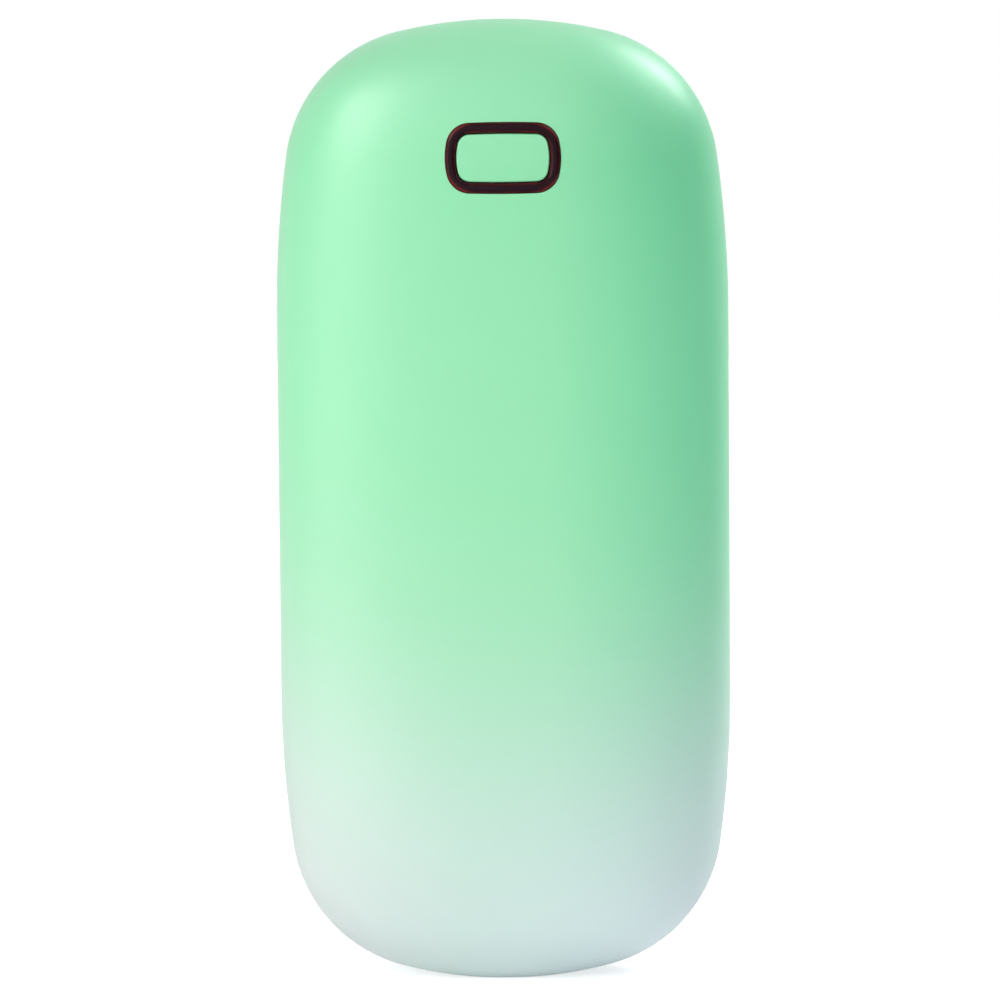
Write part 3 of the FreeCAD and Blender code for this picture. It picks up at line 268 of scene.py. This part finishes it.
# Tact switch: a moulded nylon base and plunger, with a cover, legs and a snap dome of thin rolled
# stainless strip. The dome's rim sits on the base, and the plunger presses it flat.
STRIP_LINE = 0.06 * MM
STRIP_DEPTH = 0.006 * MM
STRIP_DULL = (0.5, 0.5, 0.5)
STRIP_BRIGHT = (0.64, 0.64, 0.63)
strip, tree, shader = new_finish("stainless_strip", 0.28, metallic=1.0)
rolled = grain(tree, STRIP_LINE, detail=3, stretch=(14, 1, 1))
two_tone(tree, shader, rolled, STRIP_DULL, STRIP_BRIGHT, STRIP_DEPTH)
dress(strip, "switch_cover", "switch_terminals")

DOME_GAUGE = 0.08 * MM
DOME_ROUND = 48
DOME_RINGS = 128


def add_piece(name, bm, finish):
    """Turn a shaped bmesh into a smooth piece of the part."""
    mesh = bpy.data.meshes.new(name)
    bm.to_mesh(mesh)
    bm.free()
    mesh.materials.append(finish)
    mesh.shade_smooth()
    piece = bpy.data.objects.new(name, mesh)
    bpy.context.scene.collection.objects.link(piece)
    return piece


def cut(bm, spot, facing, drop_outside=False):
    """Cut a shape through along a plane, and drop the side that the plane faces if asked."""
    everything = bm.verts[:] + bm.edges[:] + bm.faces[:]
    bmesh.ops.bisect_plane(bm, geom=everything, plane_co=spot, plane_no=facing, clear_outer=drop_outside)


low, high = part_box("switch_dome")
middle = (low + high) / 2
dome_radius = (high.x - low.x) / 2
dome_rim = high.y - DOME_GAUGE
dome_rise = dome_rim - low.y
ball = (dome_radius**2 + dome_rise**2) / (2 * dome_rise)
bm = bmesh.new()
bmesh.ops.create_uvsphere(bm, u_segments=DOME_ROUND, v_segments=DOME_RINGS, radius=ball)
bmesh.ops.rotate(bm, cent=(0, 0, 0), matrix=Matrix.Rotation(math.radians(90), 3, "X"), verts=bm.verts)
bmesh.ops.translate(bm, vec=(middle.x, low.y + ball, middle.z), verts=bm.verts)
cut(bm, (0, dome_rim, 0), (0, 1, 0), drop_outside=True)
bmesh.ops.solidify(bm, geom=bm.faces[:], thickness=DOME_GAUGE)
bmesh.ops.recalc_face_normals(bm, faces=bm.faces)
dome = add_piece("snap_dome", bm, strip)
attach(dome, "case")
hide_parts("switch_dome")
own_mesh(dome)

NYLON_GRAIN = 0.12 * MM
NYLON_DEPTH = 0.015 * MM
NYLON_BLACK = (0.016, 0.016, 0.018)
NYLON_GREY = (0.03, 0.03, 0.033)
nylon, tree, shader = new_finish("moulded_nylon", 0.5)
sparked = grain(tree, NYLON_GRAIN, detail=4)
two_tone(tree, shader, sparked, NYLON_BLACK, NYLON_GREY, NYLON_DEPTH)
dress(nylon, "switch_base", "switch_plunger")


# Battery tray: an open tray in the same black nylon as the switch, with the spark-eroded texture
# of its mould. It holds the cells, and its ears are clamped by the board screws.
dress(nylon, "cell_frame")


# Charging socket: a drawn stainless shell round a black tongue with gold plated contacts, soldered
# to the socket board. Its mouth lies a little inside the foot of the case.
DRAWN_LINE = 0.05 * MM
DRAWN_DEPTH = 0.005 * MM
DRAWN_DULL = (0.52, 0.52, 0.53)
DRAWN_BRIGHT = (0.7, 0.7, 0.71)
drawn, tree, shader = new_finish("drawn_stainless", 0.26, metallic=1.0)
draw_lines = grain(tree, DRAWN_LINE, detail=3, stretch=(1, 1, 25))
two_tone(tree, shader, draw_lines, DRAWN_DULL, DRAWN_BRIGHT, DRAWN_DEPTH, start=0.25, end=0.75)
dress(drawn, "usb_shell")
dress(nylon, "usb_tongue")

GOLD_LINE = 0.04 * MM
GOLD_DEPTH = 0.003 * MM
GOLD_DEEP = (0.72, 0.5, 0.17)
GOLD_BRIGHT = (0.86, 0.64, 0.27)
gold, tree, shader = new_finish("gold_plating", 0.24, metallic=1.0)
wiped = grain(tree, GOLD_LINE, detail=2, stretch=(1, 1, 20))
two_tone(tree, shader, wiped, GOLD_DEEP, GOLD_BRIGHT, GOLD_DEPTH, start=0.25, end=0.75)
dress(gold, "usb_contacts")


# Heaters: an aluminium plate bonded inside each shell, with an amber film on it that carries a printed
# zigzag resistor, and a bead thermistor dipped in black resin.
MILL_LINE = 0.08 * MM
MILL_DEPTH = 0.006 * MM
MILL_DULL = (0.68, 0.69, 0.7)
MILL_BRIGHT = (0.82, 0.83, 0.84)
aluminium, tree, shader = new_finish("mill_aluminium", 0.36, metallic=1.0)
milling = grain(tree, MILL_LINE, detail=3, stretch=(1, 1, 30))
two_tone(tree, shader, milling, MILL_DULL, MILL_BRIGHT, MILL_DEPTH, start=0.25, end=0.75)
dress(aluminium, "front_heat_plate", "back_heat_plate")

ZIGZAG_PITCH = 1.6 * MM
ZIGZAG_RAISE = 0.03 * MM
FILM_AMBER = (0.5, 0.2, 0.025)
FILM_RESISTOR = (0.16, 0.09, 0.05)
film, tree, shader = new_finish("heater_film", 0.25)
zigzag = bands(tree, "Z", ZIGZAG_PITCH)
two_tone(tree, shader, zigzag, FILM_AMBER, FILM_RESISTOR, ZIGZAG_RAISE, start=0.45, end=0.55)
dress(film, "front_heater_film", "back_heater_film")

DIP_RUN = 0.5 * MM
DIP_DEPTH = 0.04 * MM
DIP_BLACK = (0.01, 0.01, 0.011)
DIP_GREY = (0.025, 0.024, 0.026)
dip, tree, shader = new_finish("dipped_resin", 0.2)
runs_down = grain(tree, DIP_RUN, detail=2)
two_tone(tree, shader, runs_down, DIP_BLACK, DIP_GREY, DIP_DEPTH)
dress(dip, "front_thermistor", "back_thermistor")


# Sponge pads: open cell foam, cut to size and pressed between cell and heater. The outer face takes
# the heater's crown, the cut edges are soft, and the pores show all over. Each pore is painted darker
# towards its middle, a painted shade in the hole.
PAD_HALF = 12.5 * MM
PAD_CORNER = 3.0 * MM
PAD_SOFTNESS = 0.3 * MM
PAD_STEPS = 10
PAD_INSET = 2.76 * MM
PAD_RIM_ANGLE = math.radians(40)
CROWN_ACROSS = 55.0 * MM
CROWN_ALONG = 600.0 * MM
CASE_MIDDLE = 51.875 * MM
HALF_DEPTH = 13.5 * MM
PORE = 0.5 * MM
PORE_DEPTH = 0.25 * MM
# The colour at the pore centres is painted shade in the holes. The colour at the pore walls is the foam's
# own.
PORE_PAINTED_SHADE = (0.02, 0.02, 0.022)
PORE_EDGE = (0.09, 0.09, 0.095)

sponge, tree, shader = new_finish("open_cell_sponge", 0.95)
pores = tree.nodes.new("ShaderNodeTexVoronoi")
pores.inputs["Scale"].default_value = 1 / PORE
tree.links.new(place_in_part(tree), pores.inputs["Vector"])
two_tone(tree, shader, pores.outputs["Distance"], PORE_PAINTED_SHADE, PORE_EDGE, PORE_DEPTH, start=0.15, end=0.5)


def crown_depth(x, z, inset):
    """How far the crowned face lies from the case's middle plane, moved in by an inset."""
    over = math.sqrt((CROWN_ACROSS - inset) ** 2 - x**2)
    swing = CROWN_ALONG - CROWN_ACROSS + over
    return math.sqrt(swing**2 - (z - CASE_MIDDLE) ** 2) - CROWN_ALONG + HALF_DEPTH


for side, name in ((-1, "front"), (1, "back")):
    low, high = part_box(f"{name}_foam_pad")
    cell_face = min(abs(low.y), abs(high.y))
    bm = bmesh.new()
    bmesh.ops.create_cube(bm, size=1)
    bmesh.ops.scale(bm, vec=(2 * PAD_HALF, high.y - low.y, high.z - low.z), verts=bm.verts)
    bmesh.ops.translate(bm, vec=(low + high) / 2, verts=bm.verts)
    through = [edge for edge in bm.edges if abs(edge.verts[0].co.y - edge.verts[1].co.y) > PAD_SOFTNESS]
    bmesh.ops.bevel(
        bm, geom=through, offset=PAD_CORNER, affect="EDGES", segments=6, profile=0.5, material=-1
    )
    for step in range(1, PAD_STEPS):
        spot = low + step / PAD_STEPS * (high - low)
        cut(bm, (spot.x, 0, 0), (1, 0, 0))
        cut(bm, (0, 0, spot.z), (0, 0, 1))
    for corner in bm.verts:
        if abs(corner.co.y) > cell_face + PAD_SOFTNESS:
            corner.co.y = side * crown_depth(corner.co.x, corner.co.z, PAD_INSET)
    rims = [edge for edge in bm.edges if edge.calc_face_angle(0) > PAD_RIM_ANGLE]
    bmesh.ops.bevel(
        bm, geom=rims, offset=PAD_SOFTNESS / 2, affect="EDGES", segments=3, profile=0.5, material=-1
    )
    pad = add_piece(f"{name}_sponge", bm, sponge)
    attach(pad, "case")
    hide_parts(f"{name}_foam_pad")


# Wires: stranded copper in soft silicone sleeves, soldered at both ends. Red and black carry the battery
# and the charging current, white feeds the heaters and thin black pairs read the thermistors.
SLEEVE_SKIN = 0.3 * MM
SLEEVE_DEPTH = 0.01 * MM
SLEEVES = (
    ("red", (0.42, 0.012, 0.012), (0.52, 0.02, 0.02), ("positive_lead", "charge_leads")),
    (
        "black", (0.012, 0.012, 0.013), (0.025, 0.025, 0.027),
        ("negative_lead", "front_thermistor_leads", "back_thermistor_leads"),
    ),
    ("white", (0.72, 0.72, 0.7), (0.82, 0.82, 0.8), ("front_heater_leads", "back_heater_leads")),
)
for name, dark, light, leads in SLEEVES:
    sleeve, tree, shader = new_finish(f"{name}_silicone", 0.48)
    two_tone(tree, shader, grain(tree, SLEEVE_SKIN, detail=3), dark, light, SLEEVE_DEPTH)
    dress(sleeve, *leads)


# Screws: six small pan heads in zinc plated steel. They are driven from behind into the front shell's
# bosses, and hold the two boards and the tray.
ZINC_MOTTLE = 0.25 * MM
ZINC_DEPTH = 0.006 * MM
ZINC_DULL = (0.5, 0.52, 0.55)
ZINC_BRIGHT = (0.64, 0.65, 0.67)
zinc, tree, shader = new_finish("zinc_plate", 0.32, metallic=1.0)
plating = grain(tree, ZINC_MOTTLE, detail=4)
two_tone(tree, shader, plating, ZINC_DULL, ZINC_BRIGHT, ZINC_DEPTH)
dress(zinc, "board_screws")


# Case shells and button: moulded halves snapped together along the side seam, sprayed with soft-touch
# paint. Mint is misted over a pearl white, so it thins out towards the foot and round the sides. The
# pearl is painted lighter and warmer at the left and bluer at the right. The mint is painted deeper and
# less red at the right and lighter at the very top. These are painted light and shade, not changes in the
# paint.
CASE_HEIGHT = 104.0 * MM
CASE_WIDTH = 49.0 * MM
SIDE_LEAD = 8.0
MIST_MIDDLE = 2.5 * MM
MIST = 1.2 * MM
MIST_SPECK = 0.35 * MM
PAINT_GRAIN = 0.09 * MM
PAINT_DEPTH = 0.001 * MM
# The pearl's change by side is painted light and shade: lighter and warmer at the left, bluer at the right.
PEARL_AND_PAINTED_SIDE_LIGHT = ((0.06, (0.72, 0.785, 0.775)), (0.4, (0.655, 0.785, 0.765)), (0.92, (0.69, 0.795, 0.85)))
# The mint's last stop, lighter at the very top, is painted light from above.
MINT_WITH_PAINTED_TOP_LIGHT = (
    (0.4, (0.317, 0.8, 0.45)),
    (0.62, (0.3, 0.79, 0.44)),
    (0.84, (0.268, 0.755, 0.41)),
    (0.97, (0.32, 0.79, 0.46)),
)
# The mint's tone by side is painted shade, deeper and less red towards the right.
MINT_PAINTED_SIDE_SHADE = ((0.06, (1, 0.965, 0.99)), (0.6, (0.97, 1, 1)), (0.9, (0.68, 0.945, 0.93)))
COVERAGE = ((0.02, 0), (0.1, 0.1), (0.22, 0.42), (0.35, 0.82), (0.48, 0.975), (0.62, 1))
PILLOW_ACROSS = (25.17 * MM, 2.22)
PILLOW_DEEP = (13.4 * MM, 2.81)
PILLOW_TALL = (52.8 * MM, 8.03)
FLOWS_FROM = 0.9
FLOWS_FULLY = 0.97


def vectors(tree, kind, first, second=None):
    """One step of arithmetic on a direction, place or colour, with another one or a plain tuple."""
    step = tree.nodes.new("ShaderNodeVectorMath")
    step.operation = kind
    tree.links.new(first, step.inputs[0])
    if isinstance(second, tuple):
        step.inputs[1].default_value = second
    elif second is not None:
        tree.links.new(second, step.inputs[1])
    return step.outputs["Value" if kind in ("DOT_PRODUCT", "LENGTH") else "Vector"]


def fades(tree, value, start, end, first=0.0, last=1.0):
    """An amount that goes from the first to the last as a value goes from start to end."""
    span = tree.nodes.new("ShaderNodeMapRange")
    span.inputs["From Min"].default_value = start
    span.inputs["From Max"].default_value = end
    span.inputs["To Min"].default_value = first
    span.inputs["To Max"].default_value = last
    tree.links.new(value, span.inputs["Value"])
    return span.outputs["Result"]


def steepness(tree, place, half, power):
    """How steeply a pillow of a half size falls away along one axis at a place."""
    share = sums(tree, "DIVIDE", sums(tree, "ABSOLUTE", place), half)
    fall = sums(tree, "MULTIPLY", sums(tree, "POWER", share, power - 1), power / half)
    return sums(tree, "MULTIPLY", fall, sums(tree, "SIGN", place))


paint, tree, shader = new_finish("soft_touch_paint", 0.4)
x, y, z = axes(tree)
sideways = sums(tree, "ADD", sums(tree, "DIVIDE", x, CASE_WIDTH), 0.5)
off_centre = sums(tree, "SUBTRACT", x, MIST_MIDDLE)
lead = sums(tree, "MULTIPLY", sums(tree, "MULTIPLY", off_centre, off_centre), SIDE_LEAD)
specks = sums(tree, "SUBTRACT", grain(tree, MIST_SPECK, detail=3), 0.5)
misted = sums(tree, "ADD", sums(tree, "SUBTRACT", z, lead), sums(tree, "MULTIPLY", specks, MIST))
level = sums(tree, "DIVIDE", misted, CASE_HEIGHT)
# The pearl and the mint carry the painted side light and shade, and the mint also carries the painted top
# light.
pearl_and_painted_side_light = shades(tree, sideways, *PEARL_AND_PAINTED_SIDE_LIGHT)
mint_with_painted_light_and_shade = vectors(tree, "MULTIPLY", shades(tree, level, *MINT_WITH_PAINTED_TOP_LIGHT), shades(tree, sideways, *MINT_PAINTED_SIDE_SHADE))
coverage = shades(tree, level, *((stop, (cover, cover, cover)) for stop, cover in COVERAGE))
coverage.node.color_ramp.interpolation = "B_SPLINE"
tree.links.new(blend(tree, "RGBA", coverage, pearl_and_painted_side_light, mint_with_painted_light_and_shade), shader.inputs["Base Color"])
skin = emboss(tree, shader, grain(tree, PAINT_GRAIN, detail=2), PAINT_DEPTH)

# The paint flows level over the line where the crown meets the rim, so the shell shades as one pillow.
pillow = tree.nodes.new("ShaderNodeCombineXYZ")
from_middle = sums(tree, "SUBTRACT", z, CASE_MIDDLE)
tree.links.new(steepness(tree, x, *PILLOW_ACROSS), pillow.inputs["X"])
tree.links.new(steepness(tree, y, *PILLOW_DEEP), pillow.inputs["Y"])
tree.links.new(steepness(tree, from_middle, *PILLOW_TALL), pillow.inputs["Z"])
outward = vectors(tree, "NORMALIZE", pillow.outputs["Vector"])
moulded = tree.nodes.new("ShaderNodeTexCoord").outputs["Normal"]
likeness = vectors(tree, "DOT_PRODUCT", outward, moulded)
level_coat = blend(tree, "VECTOR", fades(tree, likeness, FLOWS_FROM, FLOWS_FULLY), moulded, outward)
tree.links.new(level_coat, skin.inputs["Normal"])
dress(paint, "front_shell", "back_shell", "power_button")


# Light ring: moulded in smoked, wine red polycarbonate and polished. It looks black until it is lit.
# The red along its edges is painted light, a painted glow standing in for light that gets in.
RING_MIDDLE = 89.07 * MM
BAND_HALF_WIDTH = 5.62 * MM
BAND_HALF_HEIGHT = 3.24 * MM
BAND_CORNER = 1.96 * MM
BAND_HALF = 0.54 * MM
SIDE_BOW = 7.76 * MM
FLOW_STREAK = 0.45 * MM
FLOW_SHARE = 0.5
POLISH_WAVE = 1.5 * MM
POLISH_DEPTH = 0.01 * MM
# The first stops are the smoked colour. The last stops, red at the band's edges, are a painted glow.
SMOKE_AND_PAINTED_EDGE_GLOW = (
    (0.0, (0.014, 0.002, 0.006)),
    (0.5, (0.019, 0.003, 0.007)),
    (0.8, (0.055, 0.007, 0.009)),
    (1.0, (0.13, 0.018, 0.016)),
)
smoke, tree, shader = new_finish("smoked_polycarbonate", 0.16)
shader.inputs["Specular IOR Level"].default_value = 0.07

x, y, z = axes(tree)
height = sums(tree, "ABSOLUTE", sums(tree, "SUBTRACT", z, RING_MIDDLE))
bow = sums(tree, "DIVIDE", sums(tree, "MULTIPLY", height, height), 2 * SIDE_BOW)
width = sums(tree, "ADD", sums(tree, "ABSOLUTE", x), bow)
reach_x = sums(tree, "SUBTRACT", width, BAND_HALF_WIDTH - BAND_CORNER)
reach_z = sums(tree, "SUBTRACT", height, BAND_HALF_HEIGHT - BAND_CORNER)
out_x = sums(tree, "MAXIMUM", reach_x, 0.0)
out_z = sums(tree, "MAXIMUM", reach_z, 0.0)
squares = sums(tree, "ADD", sums(tree, "MULTIPLY", out_x, out_x), sums(tree, "MULTIPLY", out_z, out_z))
within = sums(tree, "MINIMUM", sums(tree, "MAXIMUM", reach_x, reach_z), 0.0)
reach = sums(tree, "ADD", sums(tree, "SQRT", squares), within)
from_band = sums(tree, "ABSOLUTE", sums(tree, "SUBTRACT", reach, BAND_CORNER))
streaks = sums(tree, "SUBTRACT", grain(tree, FLOW_STREAK, detail=4, stretch=(4, 1, 1)), 0.5)
flow = sums(tree, "MULTIPLY", streaks, FLOW_SHARE)
edge = sums(tree, "ADD", sums(tree, "DIVIDE", from_band, BAND_HALF), flow)
tree.links.new(shades(tree, edge, *SMOKE_AND_PAINTED_EDGE_GLOW), shader.inputs["Base Color"])
emboss(tree, shader, grain(tree, POLISH_WAVE, detail=1), POLISH_DEPTH)
dress(smoke, "light_ring")


# Floor and air: a white sweep that goes on past the view, with the object's shadow on it. The room is
# white behind and at the left, and dim at the right of the camera.
FLOOR_HALF = 1.5
FLOOR_WHITE = (0.86, 0.86, 0.86, 1)
SWEEP_NEAR = 0.1
SWEEP_FAR = 0.5
NEAR_GLOW = 0.56
FAR_GLOW = 0.95
NEAR_GLOSS = 0.27
FAR_GLOSS = 0.9
SWEEP_BOUNCE = 0.18
sweep, tree, shader = new_finish("white_sweep", 0.9)
shader.inputs["Base Color"].default_value = FLOOR_WHITE
shader.inputs["Specular IOR Level"].default_value = 0.0
shader.inputs["Emission Color"].default_value = (1, 1, 1, 1)
away = vectors(tree, "LENGTH", place_in_part(tree))
path = tree.nodes.new("ShaderNodeLightPath")
white = fades(tree, away, SWEEP_NEAR, SWEEP_FAR, NEAR_GLOW, FAR_GLOW)
sheen = fades(tree, away, SWEEP_NEAR, SWEEP_FAR, NEAR_GLOSS, FAR_GLOSS)
seen = sums(tree, "MULTIPLY", path.outputs["Is Camera Ray"], white)
mirrored = sums(tree, "MULTIPLY", path.outputs["Is Glossy Ray"], sheen)
bounced = sums(tree, "MULTIPLY", path.outputs["Is Diffuse Ray"], SWEEP_BOUNCE)
glow = sums(tree, "ADD", seen, sums(tree, "ADD", mirrored, bounced))
tree.links.new(glow, shader.inputs["Emission Strength"])
bm = bmesh.new()
bmesh.ops.create_grid(bm, x_segments=1, y_segments=1, size=FLOOR_HALF)
floor = add_piece("floor", bm, sweep)

AMBIENT = 0.3
DIM_SIDE = (0.82, -0.57, 0)
DIM_FROM = 0.5
DIM_FULLY = 0.97
world = bpy.data.worlds.new("studio")
bpy.context.scene.world = world
world.use_nodes = True
tree = world.node_tree
air = tree.nodes["Background"]
ray = tree.nodes.new("ShaderNodeTexCoord").outputs["Generated"]
facing = vectors(tree, "DOT_PRODUCT", ray, DIM_SIDE)
room = fades(tree, facing, DIM_FROM, DIM_FULLY, 1.0, 0.0)
path = tree.nodes.new("ShaderNodeLightPath")
clear = sums(tree, "MAXIMUM", path.outputs["Is Camera Ray"], path.outputs["Is Transmission Ray"])
mirrored = sums(tree, "MULTIPLY", path.outputs["Is Glossy Ray"], room)
lit = sums(tree, "MULTIPLY", path.outputs["Is Diffuse Ray"], AMBIENT)
air.inputs["Color"].default_value = (1, 1, 1, 1)
tree.links.new(sums(tree, "ADD", clear, sums(tree, "ADD", mirrored, lit)), air.inputs["Strength"])


# Soft boxes: a wide one and a low one at the left, one over the camera and one above the right shoulder.
# The three mirror boxes stand for white cards. They only show in the gloss of the paint, as the patch on
# each shoulder and the pale rim.
AIM = Vector((0, 0, 52 * MM))
SOFT_BOXES = (
    ("left_box", (-0.67, -0.6, 0.4), (0.6, 0.8), 5.3, True),
    ("left_mirror", (-0.6, -0.52, 0.46), (0.3, 0.3), 2.2, False),
    ("low_box", (-0.75, -0.5, 0.12), (0.5, 0.5), 0.4, True),
    ("camera_box", (0, -0.95, 0.35), (0.6, 0.5), 1.15, True),
    ("top_box", (0.45, 0.24, 0.55), (0.32, 0.3), 2.4, True),
    ("top_mirror", (0.56, 0.06, 0.64), (0.85, 0.45), 4.8, False),
    ("rim_mirror", (0.48, 0.56, 0.62), (0.6, 0.5), 1.2, False),
)
for name, spot, (wide, tall), power, lights_paint in SOFT_BOXES:
    lamp = bpy.data.lights.new(name, "AREA")
    lamp.shape = "RECTANGLE"
    lamp.size = wide
    lamp.size_y = tall
    lamp.energy = power
    box = bpy.data.objects.new(name, lamp)
    box.visible_diffuse = lights_paint
    box.location = spot
    box.rotation_euler = (AIM - Vector(spot)).to_track_quat("-Z", "Y").to_euler()
    bpy.context.scene.collection.objects.link(box)


# Camera: square on and a little above, as in the photograph, with the object leaning half a degree.
# The long lens keeps the sides of the case nearly parallel.
LENS = 200
DISTANCE = 0.6057
ELEVATION = math.radians(4)
SIDE_STEP = math.radians(0.7)
LEAN = math.radians(0.47)
VIEW_MIDDLE = Vector((-0.46 * MM, 0, 51.75 * MM))
camera_data = bpy.data.cameras.new("camera")
camera_data.lens = LENS
camera = bpy.data.objects.new("camera", camera_data)
level_view = Vector((math.sin(SIDE_STEP), math.cos(SIDE_STEP), 0))
towards = level_view * math.cos(ELEVATION) - Vector((0, 0, math.sin(ELEVATION)))
turn = towards.to_track_quat("-Z", "Y").to_matrix() @ Matrix.Rotation(-LEAN, 3, "Z")
camera.matrix_world = Matrix.Translation(VIEW_MIDDLE - towards * DISTANCE) @ turn.to_4x4()
bpy.context.scene.collection.objects.link(camera)
bpy.context.scene.camera = camera
bpy.context.scene.view_settings.view_transform = "Standard"
